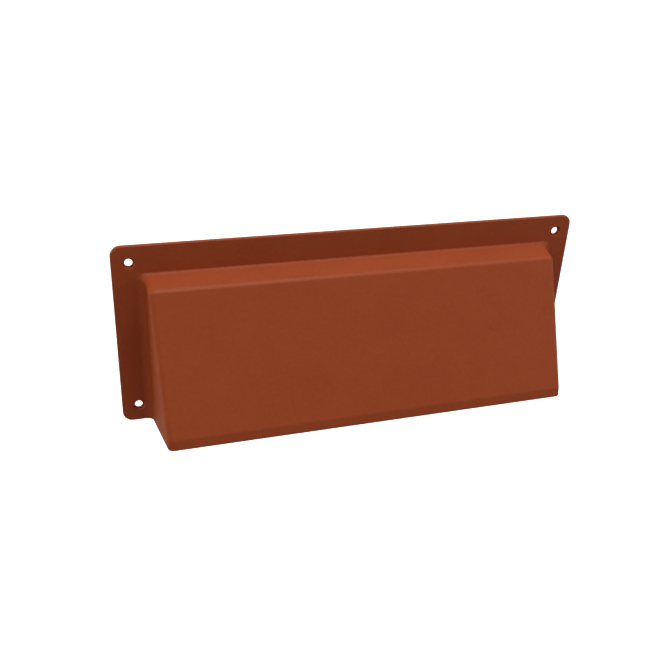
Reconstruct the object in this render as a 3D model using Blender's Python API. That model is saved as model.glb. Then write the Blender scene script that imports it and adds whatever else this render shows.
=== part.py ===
# Wall vent cowl: a moulded hood that is screwed to a wall over a nominal 229 x 76 mm air brick.
# A fly screen clips into the hood's rear opening, and a draught baffle stands on rails inside it.
# Metres. +Z is up and +X is to the right. The wall is the plane y = 0 and the hood stands out along -Y.
# The origin lies on the wall, midway between the two upper screw holes.
# In a side profile a point is (depth, height): depth is the distance from the wall, height is z.

import math

import bmesh
import bpy
from mathutils import Matrix, Vector

# Hood moulding
WALL = 0.0025
FLANGE_WIDTH = 0.265
FLANGE_HEIGHT = 0.103
FLANGE_CORNER = 0.0055
TOP_STRIP = 0.016
SIDE_STRIP = 0.0163
ROOF_REACH = 0.014
ROOF_FALL = 0.0037
HOOD_REACH = 0.0475
LIP_RISE = 0.009
LIP_HEIGHT = 0.0055
LIP_FLARE = 0.0012
SIDE_DRAFT = math.radians(3.6)
INSIDE_RADIUS = 0.0006
ROOF_EDGE_EXTRA = 0.0003
LIP_EDGE_EXTRA = 0.001
SIDE_FILLET = 0.004
ROOF_FILLET = 0.001
RIM_ROUND = 0.0008

# Screw holes
HOLE_INSET = 0.009
HOLE_DROP = 0.0095
HOLE_DIAMETER = 0.0042
RECESS_DIAMETER = 0.006
RECESS_DEPTH = 0.0015
HOLE_SIDES = 24

# Gussets, catches and rails moulded inside the hood
ROOT = 0.0015
GUSSET_WALL = 0.002
GUSSET_DROP = 0.016
GUSSET_SPACING = 0.056
GUSSET_COUNT = 3
CATCH_WIDTH = 0.008
CATCH_RAMP = 0.0035
CATCH_PROUD = 0.0012
STOP_PROUD = 0.002
STOP_DEPTH = 0.002
CATCH_SETBACK = 0.020
RAIL_WALL = 0.002
RAIL_PROUD = 0.004

# Fly screen
CLEARANCE = 0.0003
SCREEN_RECESS = 0.0055
FRAME_DEPTH = 0.004
FRAME_WIDTH = 0.007
FRAME_CORNER = 0.0015
FRAME_FOOT = 0.0015
MESH_BORDER = 0.004
MESH_CORNER = 0.0004
MESH_THICKNESS = 0.0012
MESH_PITCH = 0.006
MESH_BAR = 0.002
MULLION_WIDTH = 0.003
WINDOW_COUNT = 3
STAKE_DIAMETER = 0.0018
STAKE_HEAD = 0.003
STAKE_HEAD_HEIGHT = 0.0006
STAKE_SIDES = 12

# Draught baffle
BAFFLE_WALL = 0.002
BAFFLE_POCKET = 0.009
BAFFLE_FOOT = 0.006
BAFFLE_HEIGHT = 0.034
BAFFLE_ROLL = 0.003
BAFFLE_BEND = 0.003
WEEP_LENGTH = 0.012
WEEP_WIDTH = 0.002
WEEP_SETBACK = 0.003
WEEP_COUNT = 4
WEB_WALL = 0.0016
WEB_LEG = 0.006

# Places worked out from the sizes
TOP = HOLE_DROP
BOTTOM = TOP - FLANGE_HEIGHT
ROOF_BACK = Vector((WALL, TOP - TOP_STRIP))
ROOF_FRONT = ROOF_BACK + Vector((ROOF_REACH, -ROOF_FALL))
LIP_END = Vector((WALL + HOOD_REACH, BOTTOM + LIP_RISE))
LIP_START = LIP_END + Vector((-LIP_FLARE, LIP_HEIGHT))
SIDE_EDGE_RADIUS = WALL + INSIDE_RADIUS
ROOF_EDGE_RADIUS = SIDE_EDGE_RADIUS + ROOF_EDGE_EXTRA
LIP_EDGE_RADIUS = SIDE_EDGE_RADIUS + LIP_EDGE_EXTRA
ROOF_SLOPE = ROOF_FALL / ROOF_REACH
FRONT_LEAN = (LIP_START.x - ROOF_FRONT.x) / (ROOF_FRONT.y - LIP_START.y)


def outer_half(depth):
    return FLANGE_WIDTH / 2 - SIDE_STRIP - (depth - WALL) * math.tan(SIDE_DRAFT)


def inner_half(depth):
    return outer_half(depth) - WALL / math.cos(SIDE_DRAFT)


def inner_roof(depth):
    return ROOF_BACK.y - (depth - WALL) * ROOF_SLOPE - WALL * math.hypot(1, ROOF_SLOPE)


def inner_front(height):
    outside = ROOF_FRONT.x + (ROOF_FRONT.y - height) * FRONT_LEAN
    return outside - WALL * math.hypot(1, FRONT_LEAN)


SCREEN_FRONT = SCREEN_RECESS + FRAME_DEPTH
SCREEN_HALF = inner_half(SCREEN_FRONT) - CLEARANCE
SCREEN_TOP = inner_roof(SCREEN_FRONT) - CLEARANCE
SCREEN_LOW = BOTTOM + FRAME_FOOT
MESH_INSET = FRAME_WIDTH - MESH_BORDER + CLEARANCE
MESH_BACK = SCREEN_RECESS + STAKE_HEAD_HEIGHT + CLEARANCE
MESH_SEAT = MESH_BACK + MESH_THICKNESS + CLEARANCE
BAFFLE_REAR = SCREEN_FRONT + CLEARANCE
UPRIGHT_REAR = BAFFLE_REAR + BAFFLE_POCKET
UPRIGHT_FRONT = UPRIGHT_REAR + BAFFLE_WALL
BAFFLE_BASE = BOTTOM + BAFFLE_FOOT
BAFFLE_TOP = BAFFLE_BASE + BAFFLE_HEIGHT


def arc(before, corner, after, radius, steps):
    # Points of the round that takes the place of a profile's corner.
    to_start = (before - corner).normalized()
    to_end = (after - corner).normalized()
    turn = math.pi - to_start.angle(to_end)
    reach = radius * math.tan(turn / 2)
    centre = corner + (to_start + to_end).normalized() * radius / math.cos(turn / 2)
    start = corner + to_start * reach - centre
    end = corner + to_end * reach - centre
    points = []
    for step in range(steps + 1):
        angle = turn * step / steps
        spoke = start * math.sin(turn - angle) + end * math.sin(angle)
        points.append(centre + spoke / math.sin(turn))
    return points


def material(name, colour, roughness):
    made = bpy.data.materials.new(name)
    made.use_nodes = True
    shader = made.node_tree.nodes["Principled BSDF"]
    shader.inputs["Base Color"].default_value = (*colour, 1)
    shader.inputs["Roughness"].default_value = roughness
    shader.inputs["Metallic"].default_value = 0
    return made


def add_object(name, bm):
    mesh = bpy.data.meshes.new(name)
    bm.to_mesh(mesh)
    bm.free()
    made = bpy.data.objects.new(name, mesh)
    bpy.context.scene.collection.objects.link(made)
    return made


def boolean(target, operation, tool):
    tool.hide_render = True
    tool.display_type = "WIRE"
    step = target.modifiers.new(tool.name, "BOOLEAN")
    step.operation = operation
    step.solver = "EXACT"
    step.object = tool


def thicken(target, thickness, offset):
    step = target.modifiers.new("wall", "SOLIDIFY")
    step.thickness = thickness
    step.offset = offset
    step.use_even_offset = True
    step.use_quality_normals = True


def add_block(bm, profile, place, near, far):
    # A closed solid between two sides. place turns a profile point and a side into a position.
    first = [bm.verts.new(place(point, near)) for point in profile]
    last = [bm.verts.new(place(point, far)) for point in profile]
    faces = [bm.faces.new(first), bm.faces.new(last)]
    for index in range(len(profile)):
        after = (index + 1) % len(profile)
        faces.append(bm.faces.new((first[index], first[after], last[after], last[index])))
    bmesh.ops.recalc_face_normals(bm, faces=faces)


def across(point, x):
    return (x, -point[0], point[1])


def between_walls(point, side):
    # side is the share of the way from the middle to the place just clear of a side wall.
    return across(point, side * (inner_half(point[0]) - CLEARANCE))


def under_roof(middle):
    # Points become (depth, distance below the roof's underside), set out along X.
    def place(point, along):
        return (middle + along, -point[0], inner_roof(point[0]) - point[1])
    return place


def beside_wall(side, middle):
    # Points become (depth, distance in from a side wall), set out along Z.
    def place(point, along):
        return (side * (inner_half(point[0]) - point[1]), -point[0], middle + along)
    return place


def round_edges(bm, edges, size, steps):
    bmesh.ops.bevel(bm, geom=edges, offset=size, segments=steps, profile=0.5, affect="EDGES", material=-1)


def weight_base(bm):
    # Gives each edge between flange and hood its share of the fillet: small under the roof, full at the sides.
    weight = bm.edges.layers.float.new("bevel_weight_edge")
    flange = max(bm.faces, key=lambda face: face.calc_center_median().y)
    for edge in flange.edges:
        if len(edge.link_faces) == 2:
            low, high = sorted(vert.co.z for vert in edge.verts)
            upright = (high - low) / edge.calc_length()
            edge[weight] = (ROOF_FILLET + (SIDE_FILLET - ROOF_FILLET) * upright) / SIDE_FILLET


def hood_skin():
    # The outer skin as an open sheet: roof, front, lip, two sides and a flange without a bottom strip.
    profile = [ROOF_BACK] + arc(ROOF_BACK, ROOF_FRONT, LIP_START, ROOF_EDGE_RADIUS, 5)
    profile += arc(ROOF_FRONT, LIP_START, LIP_END, LIP_EDGE_RADIUS, 4) + [LIP_END]
    bm = bmesh.new()
    left = [bm.verts.new(across(point, -outer_half(point.x))) for point in profile]
    right = [bm.verts.new(across(point, outer_half(point.x))) for point in profile]
    left_foot = bm.verts.new((-outer_half(WALL), -WALL, BOTTOM))
    right_foot = bm.verts.new((outer_half(WALL), -WALL, BOTTOM))
    for index in range(len(profile) - 1):
        bm.faces.new((left[index], left[index + 1], right[index + 1], right[index]))
    bm.faces.new([left_foot] + left)
    bm.faces.new([right_foot] + right)
    corners = []
    for side, height in ((-1, BOTTOM), (-1, TOP), (1, TOP), (1, BOTTOM)):
        corners.append(bm.verts.new((side * FLANGE_WIDTH / 2, -WALL, height)))
    bm.faces.new(corners + [right_foot, right[0], left[0], left_foot])
    bmesh.ops.recalc_face_normals(bm, faces=bm.faces)
    bmesh.ops.bevel(bm, geom=corners, offset=FLANGE_CORNER, segments=6, profile=0.5, affect="VERTICES",
                    material=-1)
    side_edges = []
    for row in (left, right):
        side_edges += [bm.edges.get(pair) for pair in zip(row, row[1:])]
    round_edges(bm, side_edges, SIDE_EDGE_RADIUS, 6)
    weight_base(bm)
    return add_object("cowl_hood", bm)


def add_catch(bm, place):
    # A ramp that the screen frame snaps over, and the stop that it comes to rest against.
    grip = SCREEN_RECESS - CLEARANCE
    ramp = [(grip - CATCH_RAMP, -ROOT), (grip, CATCH_PROUD), (grip, -ROOT)]
    rest = SCREEN_FRONT + CLEARANCE
    tip = rest + STOP_DEPTH
    stop = [(rest, -ROOT), (rest, STOP_PROUD), (tip, STOP_PROUD), (tip + STOP_PROUD, -ROOT)]
    for profile in (ramp, stop):
        add_block(bm, profile, place, -CATCH_WIDTH / 2, CATCH_WIDTH / 2)


def add_gusset(bm, middle):
    # A triangular web that stiffens the corner between the roof and the front.
    back = SCREEN_FRONT + STOP_DEPTH
    low = ROOF_FRONT.y - GUSSET_DROP
    profile = [(back, inner_roof(back) + ROOT), (back, inner_roof(back) - ROOT)]
    profile += [(inner_front(low), low), (inner_front(low) + ROOT, low)]
    profile.append((ROOF_FRONT.x - ROOT, ROOF_FRONT.y - ROOT))
    add_block(bm, profile, across, middle - GUSSET_WALL / 2, middle + GUSSET_WALL / 2)


def add_rail(bm, side):
    # An L-shaped rib: the baffle's floor lies on its lower leg and its upright leans on the other.
    seat = BAFFLE_BASE - CLEARANCE
    face = UPRIGHT_FRONT + CLEARANCE
    peak = BAFFLE_TOP - BAFFLE_BEND
    profile = [(BAFFLE_REAR, seat), (BAFFLE_REAR, seat - RAIL_WALL), (face + RAIL_WALL, seat - RAIL_WALL)]
    profile += [(face + RAIL_WALL, peak), (face, peak), (face, seat)]

    def place(point, inward):
        return across(point, side * (inner_half(point[0]) - inward))

    add_block(bm, profile, place, -ROOT, RAIL_PROUD)


def hood_ribs():
    bm = bmesh.new()
    for index in range(GUSSET_COUNT):
        add_gusset(bm, (index - (GUSSET_COUNT - 1) / 2) * GUSSET_SPACING)
    for index in range(GUSSET_COUNT + 1):
        add_catch(bm, under_roof((index - GUSSET_COUNT / 2) * GUSSET_SPACING))
    for side in (-1, 1):
        add_rail(bm, side)
        for height in (inner_roof(SCREEN_FRONT) - CATCH_SETBACK, BAFFLE_BASE + CATCH_SETBACK):
            add_catch(bm, beside_wall(side, height))
    return add_object("hood_ribs", bm)


def add_turned(bm, profile, x, z, sides):
    # Spins a profile of (radius, depth) points about a line square to the wall.
    line = [bm.verts.new((x + radius, -depth, z)) for radius, depth in profile]
    edges = [bm.edges.new(pair) for pair in zip(line, line[1:])]
    bmesh.ops.spin(bm, geom=line + edges, cent=(x, 0, z), axis=(0, 1, 0), angle=math.tau, steps=sides,
                   use_merge=True)
    bmesh.ops.remove_doubles(bm, verts=bm.verts, dist=1e-6)
    bmesh.ops.recalc_face_normals(bm, faces=bm.faces)


def screw_holes():
    # Each cutter is a shank as wide as the hole under a wider one for the recess round the screw's head.
    hole = HOLE_DIAMETER / 2
    recess = RECESS_DIAMETER / 2
    floor = WALL - RECESS_DEPTH
    outside = 2 * WALL
    profile = [(0, -WALL), (hole, -WALL), (hole, floor), (recess, floor), (recess, outside), (0, outside)]
    bm = bmesh.new()
    for side in (-1, 1):
        for height in (TOP - HOLE_DROP, BOTTOM + HOLE_DROP):
            add_turned(bm, profile, side * (FLANGE_WIDTH / 2 - HOLE_INSET), height, HOLE_SIDES)
    return add_object("screw_holes", bm)


def cowl_hood(finish):
    hood = hood_skin()
    hood.data.materials.append(finish)
    base = hood.modifiers.new("base fillet", "BEVEL")
    base.width = SIDE_FILLET
    base.segments = 4
    base.limit_method = "WEIGHT"
    thicken(hood, WALL, -1)
    rims = hood.modifiers.new("rims", "BEVEL")
    rims.width = RIM_ROUND
    rims.segments = 2
    rims.limit_method = "ANGLE"
    rims.angle_limit = math.radians(60)
    boolean(hood, "UNION", hood_ribs())
    boolean(hood, "DIFFERENCE", screw_holes())
    return hood


def outline(inset, radius, depth, follow):
    # A rounded rectangle at one depth that keeps inside the hood's section at the depth follow.
    half = inner_half(follow) - CLEARANCE - inset
    low = SCREEN_LOW + inset
    high = inner_roof(follow) - CLEARANCE - inset
    corners = [Vector(corner) for corner in ((-half, low), (half, low), (half, high), (-half, high))]
    points = []
    for index in range(4):
        points += arc(corners[index - 1], corners[index], corners[(index + 1) % 4], radius, 4)
    return [(point.x, -depth, point.y) for point in points]


def stake_places():
    # Columns and rows of heat stakes along the middle of the mesh's plain border.
    edge = MESH_INSET + MESH_BORDER / 2
    for column in range(WINDOW_COUNT + 1):
        for height in (SCREEN_LOW + edge, SCREEN_TOP - edge):
            yield (2 * column / WINDOW_COUNT - 1) * (SCREEN_HALF - edge), height


def frame_bars():
    # Mullions that back the mesh between the windows, and the stakes that hold it.
    bm = bmesh.new()
    near = MESH_SEAT + CLEARANCE
    far = SCREEN_FRONT - CLEARANCE
    low = SCREEN_LOW + FRAME_WIDTH - ROOT
    high = SCREEN_TOP - FRAME_WIDTH + ROOT
    pitch = 2 * (SCREEN_HALF - FRAME_WIDTH) / WINDOW_COUNT
    for index in range(WINDOW_COUNT - 1):
        middle = (index - (WINDOW_COUNT - 2) / 2) * pitch
        profile = [(near, low), (far, low), (far, high), (near, high)]
        add_block(bm, profile, across, middle - MULLION_WIDTH / 2, middle + MULLION_WIDTH / 2)
    pin = STAKE_DIAMETER / 2
    head = STAKE_HEAD / 2
    root = (MESH_SEAT + SCREEN_FRONT) / 2
    neck = SCREEN_RECESS + STAKE_HEAD_HEIGHT
    stake = [(0, root), (pin, root), (pin, neck), (head, neck), (pin, SCREEN_RECESS), (0, SCREEN_RECESS)]
    for x, z in stake_places():
        add_turned(bm, stake, x, z, STAKE_SIDES)
    return add_object("frame_bars", bm)


def fly_screen_frame(finish):
    # A picture-frame ring whose rear face has a step that the mesh lies in.
    seat = FRAME_WIDTH - MESH_BORDER
    rings = [outline(0, FRAME_CORNER, SCREEN_RECESS, SCREEN_RECESS),
             outline(0, FRAME_CORNER, SCREEN_FRONT, SCREEN_FRONT),
             outline(FRAME_WIDTH, FRAME_CORNER, SCREEN_FRONT, SCREEN_FRONT),
             outline(FRAME_WIDTH, FRAME_CORNER, MESH_SEAT, SCREEN_FRONT),
             outline(seat, MESH_CORNER, MESH_SEAT, SCREEN_FRONT),
             outline(seat, MESH_CORNER, SCREEN_RECESS, SCREEN_FRONT)]
    bm = bmesh.new()
    loops = [[bm.verts.new(point) for point in ring] for ring in rings]
    for loop, after in zip(loops, loops[1:] + loops[:1]):
        for place in range(len(loop)):
            following = (place + 1) % len(loop)
            bm.faces.new((loop[place], loop[following], after[following], after[place]))
    bmesh.ops.recalc_face_normals(bm, faces=bm.faces)
    frame = add_object("fly_screen_frame", bm)
    frame.data.materials.append(finish)
    boolean(frame, "UNION", frame_bars())
    return frame


def stake_holes():
    hole = STAKE_DIAMETER / 2 + CLEARANCE
    profile = [(0, MESH_BACK - WALL), (hole, MESH_BACK - WALL), (hole, MESH_SEAT + WALL), (0, MESH_SEAT + WALL)]
    bm = bmesh.new()
    for x, z in stake_places():
        add_turned(bm, profile, x, z, STAKE_SIDES)
    return add_object("stake_holes", bm)


def fly_screen_mesh(finish):
    # A grid whose cells are inset by half a bar and opened, with a plain border all round.
    half_width = SCREEN_HALF - MESH_INSET
    half_height = (SCREEN_TOP - SCREEN_LOW) / 2 - MESH_INSET
    columns = int(2 * (half_width - MESH_BORDER) / MESH_PITCH)
    rows = int(2 * (half_height - MESH_BORDER) / MESH_PITCH)
    bm = bmesh.new()
    bmesh.ops.create_grid(bm, x_segments=columns, y_segments=rows, size=0.5)
    cells = list(bm.faces)
    bmesh.ops.scale(bm, verts=bm.verts, vec=(columns * MESH_PITCH, rows * MESH_PITCH, 1))
    rim = [edge for edge in bm.edges if edge.is_boundary]
    border = bmesh.ops.extrude_edge_only(bm, edges=rim)["geom"]
    for vert in [item for item in border if isinstance(item, bmesh.types.BMVert)]:
        if abs(vert.co.x) > (columns - 0.5) * MESH_PITCH / 2:
            vert.co.x = math.copysign(half_width, vert.co.x)
        if abs(vert.co.y) > (rows - 0.5) * MESH_PITCH / 2:
            vert.co.y = math.copysign(half_height, vert.co.y)
    bmesh.ops.inset_individual(bm, faces=cells, thickness=MESH_BAR / 2, use_even_offset=True)
    bmesh.ops.delete(bm, geom=cells, context="FACES")
    bmesh.ops.rotate(bm, verts=bm.verts, cent=(0, 0, 0), matrix=Matrix.Rotation(math.radians(90), 3, "X"))
    bmesh.ops.translate(bm, verts=bm.verts, vec=(0, -MESH_BACK, (SCREEN_TOP + SCREEN_LOW) / 2))
    bmesh.ops.reverse_faces(bm, faces=bm.faces)
    mesh = add_object("fly_screen_mesh", bm)
    mesh.data.materials.append(finish)
    thicken(mesh, MESH_THICKNESS, -1)
    boolean(mesh, "DIFFERENCE", stake_holes())
    return mesh


def weep_spacing():
    return 2 * inner_half(UPRIGHT_REAR) / WEEP_COUNT


def weep_slots():
    # Cutters for the slots that let water out of the pocket behind the baffle's upright.
    rear = UPRIGHT_REAR - WEEP_SETBACK - WEEP_WIDTH / 2
    low = BAFFLE_BASE - BAFFLE_WALL
    high = BAFFLE_BASE + 2 * BAFFLE_WALL
    profile = [(rear, low), (rear + WEEP_WIDTH, low), (rear + WEEP_WIDTH, high), (rear, high)]
    bm = bmesh.new()
    for index in range(WEEP_COUNT):
        centre = (index - (WEEP_COUNT - 1) / 2) * weep_spacing()
        add_block(bm, profile, across, centre - WEEP_LENGTH / 2, centre + WEEP_LENGTH / 2)
    return add_object("weep_slots", bm)


def baffle_webs():
    # Triangular webs between the slots that keep the upright square to the floor.
    half = BAFFLE_WALL / 2
    rear = UPRIGHT_REAR - WEB_LEG
    floor = BAFFLE_BASE + BAFFLE_WALL
    inside = UPRIGHT_REAR + half
    profile = [(inside, floor - half), (rear, floor - half), (rear, floor), (UPRIGHT_REAR, floor + WEB_LEG)]
    profile.append((inside, floor + WEB_LEG))
    bm = bmesh.new()
    for index in range(WEEP_COUNT - 1):
        centre = (index - (WEEP_COUNT - 2) / 2) * weep_spacing()
        add_block(bm, profile, across, centre - WEB_WALL / 2, centre + WEB_WALL / 2)
    return add_object("baffle_webs", bm)


def draught_baffle(finish):
    # A floor that runs out from the screen, and an upright whose top edge is rolled back for stiffness.
    back = Vector((BAFFLE_REAR, BAFFLE_BASE))
    toe = Vector((UPRIGHT_FRONT, BAFFLE_BASE))
    crown = Vector((UPRIGHT_FRONT, BAFFLE_TOP))
    roll = Vector((UPRIGHT_REAR - BAFFLE_ROLL, BAFFLE_TOP))
    inner_toe = toe + Vector((-BAFFLE_WALL, BAFFLE_WALL))
    inner_crown = crown - Vector((BAFFLE_WALL, BAFFLE_WALL))
    inner_bend = BAFFLE_BEND - BAFFLE_WALL
    lift = Vector((0, BAFFLE_WALL))
    profile = [back] + arc(back, toe, crown, BAFFLE_BEND, 6) + arc(toe, crown, roll, BAFFLE_BEND, 6)
    profile += [roll, roll - lift]
    profile += arc(roll - lift, inner_crown, inner_toe, inner_bend, 4)
    profile += arc(inner_crown, inner_toe, back + lift, inner_bend, 4) + [back + lift]
    bm = bmesh.new()
    add_block(bm, profile, between_walls, -1, 1)
    baffle = add_object("draught_baffle", bm)
    baffle.data.materials.append(finish)
    boolean(baffle, "UNION", baffle_webs())
    boolean(baffle, "DIFFERENCE", weep_slots())
    return baffle


def main():
    for old in list(bpy.data.objects):
        bpy.data.objects.remove(old)
    terracotta = material("moulded_terracotta_plastic", (0.35, 0.074, 0.021), 0.4)
    charcoal = material("moulded_charcoal_plastic", (0.03, 0.03, 0.032), 0.5)
    mesh_grey = material("grey_screen_plastic", (0.09, 0.09, 0.095), 0.45)
    baffle_brown = material("baffle_plastic", (0.3, 0.065, 0.02), 0.45)
    cowl_hood(terracotta)
    fly_screen_frame(charcoal)
    fly_screen_mesh(mesh_grey)
    draught_baffle(baffle_brown)
    for item in bpy.data.objects:
        item.data.shade_smooth()
        item.data.set_sharp_from_angle(angle=math.radians(30))


main()
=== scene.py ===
# Wall vent cowl in moulded terracotta plastic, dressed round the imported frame.
# Metres. The wall is the plane y = 0, the hood stands out along -Y and +Z is up.
import math

import bmesh
import bpy
from mathutils import Euler, Matrix, Vector


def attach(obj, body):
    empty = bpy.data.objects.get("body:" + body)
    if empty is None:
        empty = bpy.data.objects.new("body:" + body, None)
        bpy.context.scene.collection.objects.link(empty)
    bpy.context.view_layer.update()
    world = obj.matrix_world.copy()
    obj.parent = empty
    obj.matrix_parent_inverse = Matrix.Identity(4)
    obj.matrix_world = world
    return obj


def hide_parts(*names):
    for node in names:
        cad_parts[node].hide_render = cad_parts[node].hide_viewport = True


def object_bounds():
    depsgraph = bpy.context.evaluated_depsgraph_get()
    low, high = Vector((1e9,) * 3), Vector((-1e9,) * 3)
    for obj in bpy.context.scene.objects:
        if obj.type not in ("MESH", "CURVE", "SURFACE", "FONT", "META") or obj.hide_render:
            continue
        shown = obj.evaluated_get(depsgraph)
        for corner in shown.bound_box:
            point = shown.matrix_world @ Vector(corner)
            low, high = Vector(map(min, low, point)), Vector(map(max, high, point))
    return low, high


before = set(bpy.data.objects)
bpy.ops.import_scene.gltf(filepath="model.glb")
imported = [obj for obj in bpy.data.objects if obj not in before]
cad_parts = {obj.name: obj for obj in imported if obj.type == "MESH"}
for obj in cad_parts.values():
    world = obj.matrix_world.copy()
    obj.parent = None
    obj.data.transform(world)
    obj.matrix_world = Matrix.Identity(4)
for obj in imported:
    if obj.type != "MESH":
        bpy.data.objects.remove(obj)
cadLow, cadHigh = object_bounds()
print("frame loaded:", ", ".join(sorted(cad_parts)))

touching = 1e-6                      # points closer than this count as one
facing = 0.9                         # how nearly a face's normal must follow an axis
rimAngle = math.radians(60)          # edges that turn by more than this get a small round
smoothAngle = math.radians(35)       # faces that turn by less than this shade as one
largeFaceWeight = 80                 # 50 is neutral, more lets the large faces decide a corner's shading


def linear(code):      # an sRGB hex colour as the linear values that shaders take
    channels = [int(code[place:place + 2], 16) / 255 for place in (1, 3, 5)]
    return tuple(c / 12.92 if c <= 0.04045 else ((c + 0.055) / 1.055) ** 2.4 for c in channels) + (1.0,)


def addNode(tree, kind, settings=None, links=None):
    # settings: a node property or an input's default. links: an input and the socket that feeds it
    node = tree.nodes.new(kind)
    for name, value in (settings or {}).items():
        if hasattr(node, name):
            setattr(node, name, value)
        else:
            node.inputs[name].default_value = value
    for name, source in (links or {}).items():
        tree.links.new(source, node.inputs[name])
    return node


def addPiece(name, bm, finish):
    mesh = bpy.data.meshes.new(name)
    bm.to_mesh(mesh)
    bm.free()
    piece = bpy.data.objects.new(name, mesh)
    bpy.context.scene.collection.objects.link(piece)
    mesh.materials.append(finish)
    return piece


def addCutter(target, operation, bm):
    # a Boolean with a helper body, which settle() clears away once the shape is fixed
    name = target.name + operation.title() + str(len(target.modifiers))
    helper = addPiece(name, bm, target.data.materials[0])
    step = target.modifiers.new(helper.name, "BOOLEAN")
    step.operation = operation
    step.solver = "EXACT"
    step.object = helper


def roundRims(piece, width, steps):      # a small round along every sharp edge
    rims = piece.modifiers.new("rims", "BEVEL")
    rims.width = width
    rims.segments = steps
    rims.limit_method = "ANGLE"
    rims.angle_limit = rimAngle


def settle(piece):
    # fixes the modifiers into the mesh, drops their helpers and shades it smooth up to smoothAngle
    helpers = [step.object for step in piece.modifiers if step.type == "BOOLEAN"]
    ready = piece.evaluated_get(bpy.context.evaluated_depsgraph_get())
    shape = bpy.data.meshes.new_from_object(ready)
    piece.modifiers.clear()
    piece.data = shape
    for helper in helpers:
        bpy.data.objects.remove(helper)
    shape.shade_smooth()
    shape.set_sharp_from_angle(angle=smoothAngle)
    even = piece.modifiers.new("even", "WEIGHTED_NORMAL")      # flat faces shade flat, rounds shade round
    even.keep_sharp = True
    even.weight = largeFaceWeight
    return len(shape.polygons)


def fillet(bm, edges, size, steps):
    bmesh.ops.bevel(bm, geom=edges, offset=size, segments=steps, profile=0.5, affect="EDGES", material=-1)


def slab(bm, outline, across, rounded=0.0, steps=6):
    # a closed body: one end drawn as a face, the other end its copy moved by across(corner)
    start = bm.faces.new([bm.verts.new(corner) for corner in outline])
    if rounded:
        cut = bmesh.ops.bevel(bm, geom=start.verts[:], offset=rounded, segments=steps, profile=0.5,
                              affect="VERTICES", material=-1)
        start = cut["verts"][0].link_faces[0]
    grown = bmesh.ops.extrude_face_region(bm, geom=[start])["geom"]
    for vert in [item for item in grown if isinstance(item, bmesh.types.BMVert)]:
        vert.co = across(vert.co.copy())
    bmesh.ops.recalc_face_normals(bm, faces=bm.faces)


def turned(bm, outline, centre, steps):
    # spins (radius, depth) points about a line square to the wall
    line = [bm.verts.new((centre[0] + radius, -depth, centre[1])) for radius, depth in outline]
    edges = [bm.edges.new(pair) for pair in zip(line, line[1:])]
    bmesh.ops.spin(bm, geom=line + edges, cent=(centre[0], 0, centre[1]), axis=(0, 1, 0), angle=math.tau,
                   steps=steps, use_merge=True)
    bmesh.ops.remove_doubles(bm, verts=bm.verts, dist=touching)
    bmesh.ops.recalc_face_normals(bm, faces=bm.faces)


# polypropylene, moulded in a spark-eroded mould: an even earthy red that reads as dull satin
terracottaLook = {
    "deep": "#953c17",          # the two tones that the pigment swirls between
    "light": "#ac4e23",
    "roughness": (0.50, 0.58),  # satin: the mould was spark-eroded, so highlights are soft
    "ior": 1.49,
    "specular": 0.28,           # the texture's pits swallow part of the reflection
    "grain": 0.00045,           # the eroded texture's pits, drawn coarser than real ones so that they show
    "grainHeight": 0.000012,
    "mottle": 0.0022,           # patches where the pits are deeper, as wide as a few pixels
    "mottleHeight": 0.0001,     # deeper than real pits, so that it shows at this distance
    "mottleTone": 0.4,          # its share in the change of tone
    "swirl": 0.035,             # width of the faint streaks of pigment
    "wave": 0.05,               # slow unevenness where thick places sank a little
    "waveHeight": 0.00005,
}
# the same resin with carbon black: a deep grey that shows little but its edges
charcoalLook = {**terracottaLook, "deep": "#2b2b2d", "light": "#323234", "roughness": (0.46, 0.56)}
# grey resin in a smoother mould: thin bars with a slightly brighter shine than the frame
screenLook = {**terracottaLook, "deep": "#525255", "light": "#5a5a5c", "roughness": (0.42, 0.52)}
# reclaimed resin for a hidden part: a shade duller and more streaked than the hood
baffleLook = {**terracottaLook, "deep": "#8e3b1a", "light": "#a04a23", "roughness": (0.45, 0.6),
              "swirl": 0.02}


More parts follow.
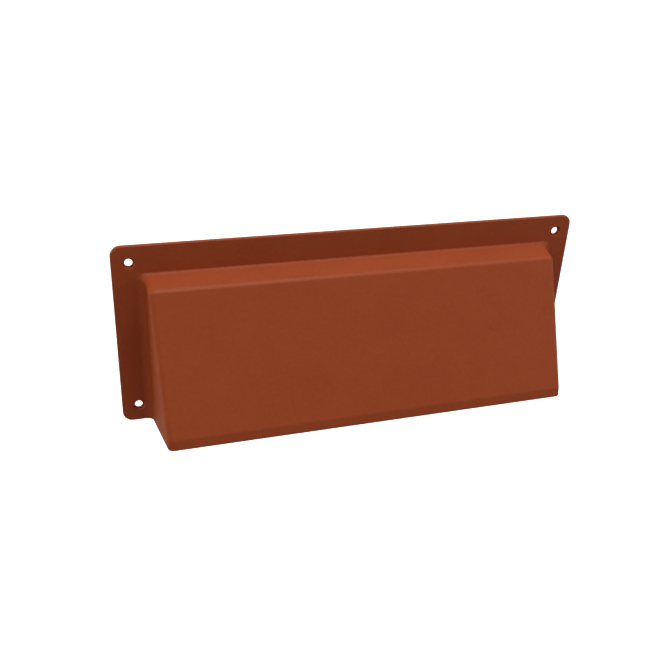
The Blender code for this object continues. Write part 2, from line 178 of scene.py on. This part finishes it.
def mouldedPlastic(name, look):
    # injection-moulded plastic: even pigment, fine pitted satin skin, slight sinks
    made = bpy.data.materials.new(name)
    made.use_nodes = True
    tree = made.node_tree
    shader = tree.nodes["Principled BSDF"]
    shader.inputs["IOR"].default_value = look["ior"]
    shader.inputs["Specular IOR Level"].default_value = look["specular"]
    place = addNode(tree, "ShaderNodeTexCoord").outputs["Object"]
    swirl = addNode(tree, "ShaderNodeTexNoise",
                    {"Scale": 1 / look["swirl"], "Detail": 5.0, "Roughness": 0.55, "Distortion": 0.6},
                    {"Vector": place})
    tone = addNode(tree, "ShaderNodeMix", {"data_type": "RGBA"})
    tone.inputs[6].default_value = linear(look["deep"])
    tone.inputs[7].default_value = linear(look["light"])
    patches = addNode(tree, "ShaderNodeTexNoise", {"Scale": 1 / look["mottle"], "Detail": 2.0},
                      {"Vector": place})
    blend = addNode(tree, "ShaderNodeMix", {"data_type": "FLOAT"})
    blend.inputs[0].default_value = look["mottleTone"]
    tree.links.new(swirl.outputs["Fac"], blend.inputs[2])
    tree.links.new(patches.outputs["Fac"], blend.inputs[3])
    tree.links.new(blend.outputs[0], tone.inputs[0])
    tree.links.new(tone.outputs[2], shader.inputs["Base Color"])
    grain = addNode(tree, "ShaderNodeTexNoise",
                    {"Scale": 1 / look["grain"], "Detail": 3.0, "Roughness": 0.6}, {"Vector": place})
    smooth, rough = look["roughness"]
    gloss = addNode(tree, "ShaderNodeMapRange",
                    {"From Min": 0.3, "From Max": 0.7, "To Min": smooth, "To Max": rough},
                    {"Value": swirl.outputs["Fac"]})
    tree.links.new(gloss.outputs["Result"], shader.inputs["Roughness"])
    wave = addNode(tree, "ShaderNodeTexNoise", {"Scale": 1 / look["wave"], "Detail": 1.0},
                   {"Vector": place})
    slow = addNode(tree, "ShaderNodeBump", {"Strength": 1.0, "Distance": look["waveHeight"]},
                   {"Height": wave.outputs["Fac"]})
    uneven = addNode(tree, "ShaderNodeBump", {"Strength": 1.0, "Distance": look["mottleHeight"]},
                     {"Height": patches.outputs["Fac"], "Normal": slow.outputs["Normal"]})
    fine = addNode(tree, "ShaderNodeBump", {"Strength": 1.0, "Distance": look["grainHeight"]},
                   {"Height": grain.outputs["Fac"], "Normal": uneven.outputs["Normal"]})
    tree.links.new(fine.outputs["Normal"], shader.inputs["Normal"])
    return made


hood = {
    "wall": 0.0025,
    "flangeWidth": 0.265,
    "flangeHeight": 0.103,
    "flangeCorner": 0.0055, "cornerSteps": 10,
    "holeInset": 0.009,        # from the flange's sides
    "holeDrop": 0.0095,        # from its top and bottom
    "topStrip": 0.016,         # flange showing above the hood
    "sideStrip": 0.0155,       # flange showing beside the hood
    "roofReach": 0.014,
    "roofFall": 0.0037,
    "hoodReach": 0.04749,      # the finer rounds reach further than the solid's, so this stays just short
    "lipRise": 0.009,          # the lip's lower edge above the flange's
    "lipHeight": 0.0055,
    "lipFlare": 0.0012,        # its lower edge stands further out than its upper edge
    "sideDraft": math.radians(4.0),
    "sideEdge": 0.0031, "sideSteps": 10,       # rounds on the outside: wall < sideEdge < roofEdge
    "roofEdge": 0.0034, "roofSteps": 8,
    "lipEdge": 0.0041, "lipSteps": 3,          # with more steps the wall folds over itself here
    "sideFillet": 0.004, "filletSteps": 8,     # rounds between hood and flange
    "roofFillet": 0.001,
    "rimRound": 0.0008, "rimSteps": 4,
}
screwHole = {"bore": 0.0042, "floor": 0.0052, "mouth": 0.0065, "depth": 0.0015, "steps": 64}
ribs = {
    "root": 0.0015,            # how far a rib runs into its wall
    "gussetWall": 0.002, "gussetDrop": 0.016, "spacing": 0.056, "gussets": 3,
    "catchWidth": 0.008, "catchRamp": 0.0035, "catchProud": 0.0012,
    "stopProud": 0.002, "stopDepth": 0.002, "setback": 0.020,
    "railWall": 0.002, "railProud": 0.004,
    "gap": 0.0003, "recess": 0.0055, "screenDepth": 0.004,
    "baffleFoot": 0.006, "baffleHeight": 0.034, "bafflePocket": 0.009, "baffleWall": 0.002,
    "baffleBend": 0.003,
}
top = hood["holeDrop"]                         # the origin is midway between the upper screw holes
bottom = top - hood["flangeHeight"]
roofBack = Vector((hood["wall"], top - hood["topStrip"]))      # side profile points: (depth, height)
roofFront = roofBack + Vector((hood["roofReach"], -hood["roofFall"]))
lipEnd = Vector((hood["wall"] + hood["hoodReach"], bottom + hood["lipRise"]))
lipStart = lipEnd + Vector((-hood["lipFlare"], hood["lipHeight"]))
roofSlope = hood["roofFall"] / hood["roofReach"]
frontLean = (lipStart.x - roofFront.x) / (roofFront.y - lipStart.y)


def outerHalf(depth):      # half the hood's width outside, which narrows with the mould's draft
    narrowing = (depth - hood["wall"]) * math.tan(hood["sideDraft"])
    return hood["flangeWidth"] / 2 - hood["sideStrip"] - narrowing


def innerHalf(depth):
    return outerHalf(depth) - hood["wall"] / math.cos(hood["sideDraft"])


def innerRoof(depth):
    return roofBack.y - (depth - hood["wall"]) * roofSlope - hood["wall"] * math.hypot(1, roofSlope)


def innerFront(height):
    return roofFront.x + (roofFront.y - height) * frontLean - hood["wall"] * math.hypot(1, frontLean)


def roundOffset(radius, before, corner, after):
    # how far a round of this radius reaches from its corner
    turn = math.pi - (before - corner).angle(after - corner)
    return radius * math.tan(turn / 2)


def drawHood():
    # side profile, drawn out one metre across, narrowed by its draft, opened at the back and the bottom
    bm = bmesh.new()
    profile = (Vector((hood["wall"], bottom)), roofBack, roofFront, lipStart, lipEnd)
    slab(bm, [(0.5, -point.x, point.y) for point in profile],
         lambda corner: Vector((-0.5, corner.y, corner.z)))
    for vert in bm.verts:
        vert.co.x *= 2 * outerHalf(-vert.co.y)
    behind = [face for face in bm.faces if all(abs(v.co.y + hood["wall"]) < touching for v in face.verts)]
    below = [face for face in bm.faces if face.normal.z < -facing]
    bmesh.ops.delete(bm, geom=behind + below, context="FACES")
    # flange: the hood's rear edges pulled out to a frame without a bottom strip
    rear = [edge for edge in bm.edges if all(abs(v.co.y + hood["wall"]) < touching for v in edge.verts)]
    grown = bmesh.ops.extrude_edge_only(bm, edges=rear)["geom"]
    rim = [item for item in grown if isinstance(item, bmesh.types.BMVert)]
    for vert in rim:
        vert.co.x = math.copysign(hood["flangeWidth"] / 2, vert.co.x)
        vert.co.z = top if vert.co.z > roofBack.y - touching else bottom
    mitres = [edge for edge in bm.edges if sum(vert in rim for vert in edge.verts) == 1
              and abs(edge.verts[0].co.z - edge.verts[1].co.z) > touching]
    bmesh.ops.dissolve_edges(bm, edges=mitres, use_verts=False)
    bmesh.ops.recalc_face_normals(bm, faces=bm.faces)
    if max(bm.faces, key=lambda face: face.calc_area()).normal.y > 0:
        bmesh.ops.reverse_faces(bm, faces=bm.faces)
    bmesh.ops.bevel(bm, geom=[vert for vert in rim if vert.is_valid], offset=hood["flangeCorner"],
                    segments=hood["cornerSteps"], profile=0.5, affect="VERTICES", material=-1)
    # rounds: roof edge, lip edge, then both side edges in one run
    for corner, before, after, radius, steps in (
            (roofFront, roofBack, lipStart, hood["roofEdge"], hood["roofSteps"]),
            (lipStart, roofFront, lipEnd, hood["lipEdge"], hood["lipSteps"])):
        along = [edge for edge in bm.edges if all(
            (Vector((-vert.co.y, vert.co.z)) - corner).length < touching for vert in edge.verts)]
        fillet(bm, along, roundOffset(radius, before, corner, after), steps)
    sides = [face for face in bm.faces if abs(face.normal.x) > facing]
    sideEdges = [edge for face in sides for edge in face.edges if len(edge.link_faces) == 2
                 and any(vert.co.y < -hood["wall"] - touching for vert in edge.verts)]
    fillet(bm, sideEdges, hood["sideEdge"], hood["sideSteps"])
    # base fillet: small under the roof, full at the sides, made by the Bevel modifier's weights
    weight = bm.edges.layers.float.new("bevel_weight_edge")
    flange = max(bm.faces, key=lambda face: face.calc_center_median().y)
    small, full = hood["roofFillet"], hood["sideFillet"]
    for edge in flange.edges:
        if len(edge.link_faces) == 2:
            low, high = sorted(vert.co.z for vert in edge.verts)
            upright = (high - low) / edge.calc_length()
            edge[weight] = (small + (full - small) * upright) / full
    return bm


def underRoof(middle):      # places a (depth, drop below the roof's underside) point, set out along X
    return lambda point, along: Vector((middle + along, -point[0], innerRoof(point[0]) - point[1]))


def besideWall(side, middle):      # places a (depth, distance in from a side wall) point, set out along Z
    return lambda point, along: Vector((side * (innerHalf(point[0]) - point[1]), -point[0], middle + along))


def drawCatch(bm, place):
    # a ramp that the screen snaps over and the stop that it comes to rest against
    grip = ribs["recess"] - ribs["gap"]
    rest = ribs["recess"] + ribs["screenDepth"] + ribs["gap"]
    tip = rest + ribs["stopDepth"]
    root, proud, half = -ribs["root"], ribs["stopProud"], ribs["catchWidth"] / 2
    ramp = [(grip - ribs["catchRamp"], root), (grip, ribs["catchProud"]), (grip, root)]
    stop = [(rest, root), (rest, proud), (tip, proud), (tip + proud, root)]
    for profile in (ramp, stop):
        ends = [place(point, -half) for point in profile]
        step = place(profile[0], half) - ends[0]
        slab(bm, ends, lambda corner, step=step: corner + step)


def drawRibs():
    bm = bmesh.new()
    root, front = ribs["root"], ribs["recess"] + ribs["screenDepth"]
    for index in range(ribs["gussets"]):      # triangular webs between roof and front
        left = (index - (ribs["gussets"] - 1) / 2) * ribs["spacing"] - ribs["gussetWall"] / 2
        back = front + ribs["stopDepth"]
        low = roofFront.y - ribs["gussetDrop"]
        points = [(back, innerRoof(back) + root), (back, innerRoof(back) - root), (innerFront(low), low),
                  (innerFront(low) + root, low), (roofFront.x - root, roofFront.y - root)]
        slab(bm, [(left, -depth, height) for depth, height in points],
             lambda corner: corner + Vector((ribs["gussetWall"], 0, 0)))
    for index in range(ribs["gussets"] + 1):
        drawCatch(bm, underRoof((index - ribs["gussets"] / 2) * ribs["spacing"]))
    base = bottom + ribs["baffleFoot"]
    seat = base - ribs["gap"]
    face = front + 2 * ribs["gap"] + ribs["bafflePocket"] + ribs["baffleWall"]
    peak = base + ribs["baffleHeight"] - ribs["baffleBend"]
    start, end, under = front + ribs["gap"], face + ribs["railWall"], seat - ribs["railWall"]
    rail = [(start, seat), (start, under), (end, under), (end, peak), (face, peak), (face, seat)]
    for side in (-1, 1):
        slab(bm, [(side * (innerHalf(depth) + root), -depth, height) for depth, height in rail],
             lambda corner, side=side: corner - Vector((side * (root + ribs["railProud"]), 0, 0)))
        for height in (innerRoof(front) - ribs["setback"], base + ribs["setback"]):
            drawCatch(bm, besideWall(side, height))
    return bm


def drawScrewHoles():
    # a shank as wide as the hole under a drafted recess for the screw's head
    bore, floor, mouth = (screwHole[name] / 2 for name in ("bore", "floor", "mouth"))
    depth, wall = screwHole["depth"], hood["wall"]
    outline = [(0, -wall), (bore, -wall), (bore, wall - depth), (floor, wall - depth),
               (2 * mouth - floor, wall + depth), (0, wall + depth)]
    across = hood["flangeWidth"] / 2 - hood["holeInset"]
    bm = bmesh.new()
    for side in (-1, 1):
        for height in (top - hood["holeDrop"], bottom + hood["holeDrop"]):
            turned(bm, outline, (side * across, height), screwHole["steps"])
    return bm


def makeHood(finish):
    piece = addPiece("cowlHood", drawHood(), finish)
    base = piece.modifiers.new("baseFillet", "BEVEL")
    base.width = hood["sideFillet"]
    base.segments = hood["filletSteps"]
    base.limit_method = "WEIGHT"
    wall = piece.modifiers.new("wall", "SOLIDIFY")
    wall.thickness = hood["wall"]
    wall.offset = -1
    wall.use_even_offset = True
    wall.use_quality_normals = True
    roundRims(piece, hood["rimRound"], hood["rimSteps"])
    addCutter(piece, "UNION", drawRibs())
    addCutter(piece, "DIFFERENCE", drawScrewHoles())
    faces = settle(piece)
    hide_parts("cowl_hood")
    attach(piece, "root")
    print("hood moulded:", faces, "faces")


screen = {
    "foot": 0.0015,            # the frame stops this far above the hood's lower edge
    "width": 0.007, "corner": 0.0015, "edgeRound": 0.00025, "edgeSteps": 2,
    "border": 0.004, "meshCorner": 0.0004, "thickness": 0.0012,
    "pitch": 0.006, "bar": 0.002, "barRound": 0.0002,
    "mullion": 0.003, "windows": 3,
    "pin": 0.0018, "head": 0.003, "headHeight": 0.0006, "pinSteps": 24,
    "domeWidth": 0.93, "crown": 0.0001,      # a stake's dome: width halfway up, drop to its shoulder
}
screenFront = ribs["recess"] + ribs["screenDepth"]
screenHalf = innerHalf(screenFront) - ribs["gap"]
screenTop = innerRoof(screenFront) - ribs["gap"]
screenLow = bottom + screen["foot"]
meshInset = screen["width"] - screen["border"] + ribs["gap"]
meshBack = ribs["recess"] + screen["headHeight"] + ribs["gap"]
meshSeat = meshBack + screen["thickness"] + ribs["gap"]


def stakePlaces():      # columns and rows of heat stakes along the middle of the mesh's plain border
    edge = meshInset + screen["border"] / 2
    for column in range(screen["windows"] + 1):
        for height in (screenLow + edge, screenTop - edge):
            yield (2 * column / screen["windows"] - 1) * (screenHalf - edge), height


def drawPlate(inset, corner, back, front):
    # a rounded plate inside the hood's section, which narrows and drops from its back to its front
    bm = bmesh.new()
    half, tall = innerHalf(back) - ribs["gap"] - inset, innerRoof(back) - ribs["gap"] - inset
    halfFront, tallFront = innerHalf(front) - ribs["gap"] - inset, innerRoof(front) - ribs["gap"] - inset
    low = screenLow + inset
    middle = (tall + low) / 2

    def across(at):
        return Vector((at.x * halfFront / half, -front, at.z + (tallFront - tall) * (at.z > middle)))

    slab(bm, [(-half, -back, low), (half, -back, low), (half, -back, tall), (-half, -back, tall)],
         across, corner)
    return bm


def drawOpening(inset, corner, back, front):      # a plate that keeps the front's section, as a cutter
    bm = bmesh.new()
    half, tall, low = screenHalf - inset, screenTop - inset, screenLow + inset
    slab(bm, [(-half, -back, low), (half, -back, low), (half, -back, tall), (-half, -back, tall)],
         lambda at: Vector((at.x, -front, at.z)), corner)
    return bm


def drawScreenBars():
    bm = bmesh.new()
    near, far, root = meshSeat + ribs["gap"], screenFront - ribs["gap"], ribs["root"]
    low, high = screenLow + screen["width"] - root, screenTop - screen["width"] + root
    pitch = 2 * (screenHalf - screen["width"]) / screen["windows"]
    for index in range(screen["windows"] - 1):
        left = (index - (screen["windows"] - 2) / 2) * pitch - screen["mullion"] / 2
        slab(bm, [(left, -near, low), (left, -far, low), (left, -far, high), (left, -near, high)],
             lambda at: at + Vector((screen["mullion"], 0, 0)))
    pin, head = screen["pin"] / 2, screen["head"] / 2
    foot, tip = (meshSeat + screenFront) / 2, ribs["recess"]
    neck = tip + screen["headHeight"]
    dome = neck - screen["headHeight"] / 2
    stake = [(0, foot), (pin, foot), (pin, neck), (head, neck), (head * screen["domeWidth"], dome),
             (pin, tip + screen["crown"]), (0, tip)]
    for place in stakePlaces():
        turned(bm, stake, place, screen["pinSteps"])
    return bm


def makeScreenFrame(finish):
    piece = addPiece("flyScreenFrame", drawPlate(0, screen["corner"], ribs["recess"], screenFront), finish)
    reach = 0.002      # the cutters run past the faces that they open
    addCutter(piece, "DIFFERENCE", drawOpening(screen["width"], screen["corner"],
                                               meshSeat - reach, screenFront + reach))
    addCutter(piece, "DIFFERENCE", drawOpening(screen["width"] - screen["border"], screen["meshCorner"],
                                               ribs["recess"] - reach, meshSeat))
    roundRims(piece, screen["edgeRound"], screen["edgeSteps"])
    addCutter(piece, "UNION", drawScreenBars())
    faces = settle(piece)
    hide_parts("fly_screen_frame")
    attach(piece, "root")
    print("screen frame moulded:", faces, "faces")


def makeScreenMesh(finish):
    # a grid whose cells are inset by half a bar and opened, with a plain border all round
    halfWidth = screenHalf - meshInset
    halfHeight = (screenTop - screenLow) / 2 - meshInset
    columns = int(2 * (halfWidth - screen["border"]) / screen["pitch"])
    rows = int(2 * (halfHeight - screen["border"]) / screen["pitch"])
    bm = bmesh.new()
    bmesh.ops.create_grid(bm, x_segments=columns, y_segments=rows, size=0.5)
    cells = list(bm.faces)
    bmesh.ops.scale(bm, verts=bm.verts, vec=(columns * screen["pitch"], rows * screen["pitch"], 1))
    rim = [edge for edge in bm.edges if edge.is_boundary]
    border = bmesh.ops.extrude_edge_only(bm, edges=rim)["geom"]
    for vert in [item for item in border if isinstance(item, bmesh.types.BMVert)]:
        if abs(vert.co.x) > (columns - 0.5) * screen["pitch"] / 2:
            vert.co.x = math.copysign(halfWidth, vert.co.x)
        if abs(vert.co.y) > (rows - 0.5) * screen["pitch"] / 2:
            vert.co.y = math.copysign(halfHeight, vert.co.y)
    bmesh.ops.inset_individual(bm, faces=cells, thickness=screen["bar"] / 2, use_even_offset=True)
    bmesh.ops.delete(bm, geom=cells, context="FACES")
    bmesh.ops.rotate(bm, verts=bm.verts, cent=(0, 0, 0), matrix=Matrix.Rotation(math.radians(90), 3, "X"))
    bmesh.ops.translate(bm, verts=bm.verts, vec=(0, -meshBack, (screenTop + screenLow) / 2))
    bmesh.ops.reverse_faces(bm, faces=bm.faces)
    piece = addPiece("flyScreenMesh", bm, finish)
    wall = piece.modifiers.new("wall", "SOLIDIFY")
    wall.thickness = screen["thickness"]
    wall.offset = -1
    roundRims(piece, screen["barRound"], screen["edgeSteps"])
    holes = bmesh.new()
    hole = screen["pin"] / 2 + ribs["gap"]
    rod = [(0, 0), (hole, 0), (hole, 2 * meshSeat), (0, 2 * meshSeat)]
    for place in stakePlaces():
        turned(holes, rod, place, screen["pinSteps"])
    addCutter(piece, "DIFFERENCE", holes)
    faces = settle(piece)
    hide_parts("fly_screen_mesh")
    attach(piece, "root")
    print("screen mesh moulded:", faces, "faces")


baffle = {
    "wall": 0.002, "roll": 0.003, "bend": 0.003, "bendSteps": 10, "edgeRound": 0.0004, "edgeSteps": 3,
    "slots": 4, "slotLength": 0.012, "slotWidth": 0.002, "slotSetback": 0.003, "slotRound": 0.0008,
    "webWall": 0.0016, "webLeg": 0.006,
}
baffleRear = screenFront + ribs["gap"]
uprightRear = baffleRear + ribs["bafflePocket"]
uprightFront = uprightRear + baffle["wall"]
baffleBase = bottom + ribs["baffleFoot"]
baffleTop = baffleBase + ribs["baffleHeight"]


def makeBaffle(finish):
    # one sheet: a floor, an upright and a top edge rolled back, bent from a line drawn across the hood
    bm = bmesh.new()
    line = [(baffleRear, baffleBase), (uprightFront, baffleBase), (uprightFront, baffleTop),
            (uprightRear - baffle["roll"], baffleTop)]
    verts = [bm.verts.new((-1, -depth, height)) for depth, height in line]
    edges = [bm.edges.new(pair) for pair in zip(verts, verts[1:])]
    grown = bmesh.ops.extrude_edge_only(bm, edges=edges)["geom"]
    for vert in [item for item in grown if isinstance(item, bmesh.types.BMVert)]:
        vert.co.x = 1
    for vert in bm.verts:
        vert.co.x *= innerHalf(-vert.co.y) - ribs["gap"]
    bmesh.ops.recalc_face_normals(bm, faces=bm.faces)
    if min(bm.faces, key=lambda face: face.calc_center_median().z).normal.z > 0:
        bmesh.ops.reverse_faces(bm, faces=bm.faces)
    bends = [edge for edge in bm.edges if len(edge.link_faces) == 2]
    fillet(bm, bends, baffle["bend"], baffle["bendSteps"])
    piece = addPiece("draughtBaffle", bm, finish)
    wall = piece.modifiers.new("wall", "SOLIDIFY")
    wall.thickness = baffle["wall"]
    wall.offset = -1
    wall.use_even_offset = True
    roundRims(piece, baffle["edgeRound"], baffle["edgeSteps"])
    spacing = 2 * innerHalf(uprightRear) / baffle["slots"]
    half, floor = baffle["wall"] / 2, baffleBase + baffle["wall"]
    inside = uprightRear + half
    webs = bmesh.new()
    for index in range(baffle["slots"] - 1):
        left = (index - (baffle["slots"] - 2) / 2) * spacing - baffle["webWall"] / 2
        rear, high = uprightRear - baffle["webLeg"], floor + baffle["webLeg"]
        points = [(inside, floor - half), (rear, floor - half), (rear, floor), (uprightRear, high),
                  (inside, high)]
        slab(webs, [(left, -depth, height) for depth, height in points],
             lambda at: at + Vector((baffle["webWall"], 0, 0)))
    addCutter(piece, "UNION", webs)
    slots = bmesh.new()
    rear = uprightRear - baffle["slotSetback"] - baffle["slotWidth"] / 2
    for index in range(baffle["slots"]):
        left = (index - (baffle["slots"] - 1) / 2) * spacing - baffle["slotLength"] / 2
        right, front = left + baffle["slotLength"], rear + baffle["slotWidth"]
        low = baffleBase - baffle["wall"]
        slab(slots, [(left, -rear, low), (right, -rear, low), (right, -front, low), (left, -front, low)],
             lambda at: at + Vector((0, 0, 3 * baffle["wall"])), baffle["slotRound"])
    addCutter(piece, "DIFFERENCE", slots)
    faces = settle(piece)
    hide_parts("draught_baffle")
    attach(piece, "root")
    print("baffle moulded:", faces, "faces")


cameraSetup = {      # fitted to the flange's corners, the hood's edges and the screw holes of the photo
    "place": (-0.1495633, -0.39568646, 0.16224214),
    "turn": (62.76998, -2.55137, -17.829835),      # degrees about X, Y and Z
    "focal": 818.04446,                            # pixels in a frame 665 wide
    "frameWidth": 665,
    "sensor": 36.0,
    "nearest": 0.01, "farthest": 60,
}


def makeCamera(setup):
    data = bpy.data.cameras.new("camera")
    data.sensor_width = setup["sensor"]
    data.lens = setup["sensor"] * setup["focal"] / setup["frameWidth"]
    data.clip_start = setup["nearest"]
    data.clip_end = setup["farthest"]
    camera = bpy.data.objects.new("camera", data)
    camera.location = setup["place"]
    camera.rotation_euler = Euler([math.radians(angle) for angle in setup["turn"]], "XYZ")
    bpy.context.scene.collection.objects.link(camera)
    bpy.context.scene.camera = camera


studio = {
    "sky": 0.26,               # even light of a white room
    "aim": (0, -0.02, -0.04),  # the point that the softboxes face
    "backdropRadius": 6.0, "backdropSteps": 4,
    "floorDrop": 0.6, "floorSides": 96,
    # softboxes: azimuth from -Y towards +X, elevation, distance, size, watts and colour
    "softboxes": {
        "overhead": (30, 78, 3.0, 2.0, 56.4, "#ffffff"),
        "rightFill": (65, 10, 3.0, 1.6, 10.9, "#ffffff"),
        "leftFill": (-85, 30, 2.4, 1.2, 12.2, "#fff0c8"),      # both left ones as off a cream wall
        "rearLeftFill": (-130, 5, 2.0, 1.2, 14.0, "#fff0c8"),
    },
}


def makeStudio(setup):
    scene = bpy.context.scene
    scene.view_settings.view_transform = "Standard"
    world = bpy.data.worlds.new("studioRoom")
    world.use_nodes = True
    world.node_tree.nodes["Background"].inputs["Color"].default_value = (1, 1, 1, 1)
    world.node_tree.nodes["Background"].inputs["Strength"].default_value = setup["sky"]
    scene.world = world
    aim = Vector(setup["aim"])
    for name, (azimuth, elevation, distance, size, power, tone) in setup["softboxes"].items():
        data = bpy.data.lights.new(name, "AREA")
        data.color = linear(tone)[:3]
        data.shape = "SQUARE"
        data.size = size
        data.energy = power
        box = bpy.data.objects.new(name, data)
        flat = distance * math.cos(math.radians(elevation))
        box.location = aim + Vector((flat * math.sin(math.radians(azimuth)),
                                     -flat * math.cos(math.radians(azimuth)),
                                     distance * math.sin(math.radians(elevation))))
        box.rotation_euler = (aim - box.location).to_track_quat("-Z", "Y").to_euler()
        scene.collection.objects.link(box)
    paper = bpy.data.materials.new("whitePaper")
    paper.use_nodes = True
    shader = paper.node_tree.nodes["Principled BSDF"]
    shader.inputs["Emission Color"].default_value = (1, 1, 1, 1)
    shader.inputs["Emission Strength"].default_value = 1.0
    for name in ("floor", "backdrop"):
        bm = bmesh.new()
        if name == "floor":
            bmesh.ops.create_circle(bm, cap_ends=True, segments=setup["floorSides"],
                                    radius=setup["backdropRadius"])
            bmesh.ops.translate(bm, verts=bm.verts, vec=(0, 0, cadLow[2] - setup["floorDrop"]))
        else:
            bmesh.ops.create_icosphere(bm, subdivisions=setup["backdropSteps"],
                                       radius=setup["backdropRadius"])
            bmesh.ops.reverse_faces(bm, faces=bm.faces)
        surface = addPiece(name, bm, paper)
        surface.visible_diffuse = False      # the softboxes and the room alone light the part
        surface.visible_glossy = False
        surface.visible_shadow = False


makeCamera(cameraSetup)
makeStudio(studio)
print("camera and studio set")
makeHood(mouldedPlastic("mouldedTerracottaPolypropylene", terracottaLook))
makeScreenFrame(mouldedPlastic("mouldedCharcoalPolypropylene", charcoalLook))
makeScreenMesh(mouldedPlastic("mouldedGreyPolypropylene", screenLook))
makeBaffle(mouldedPlastic("mouldedReclaimedPolypropylene", baffleLook))
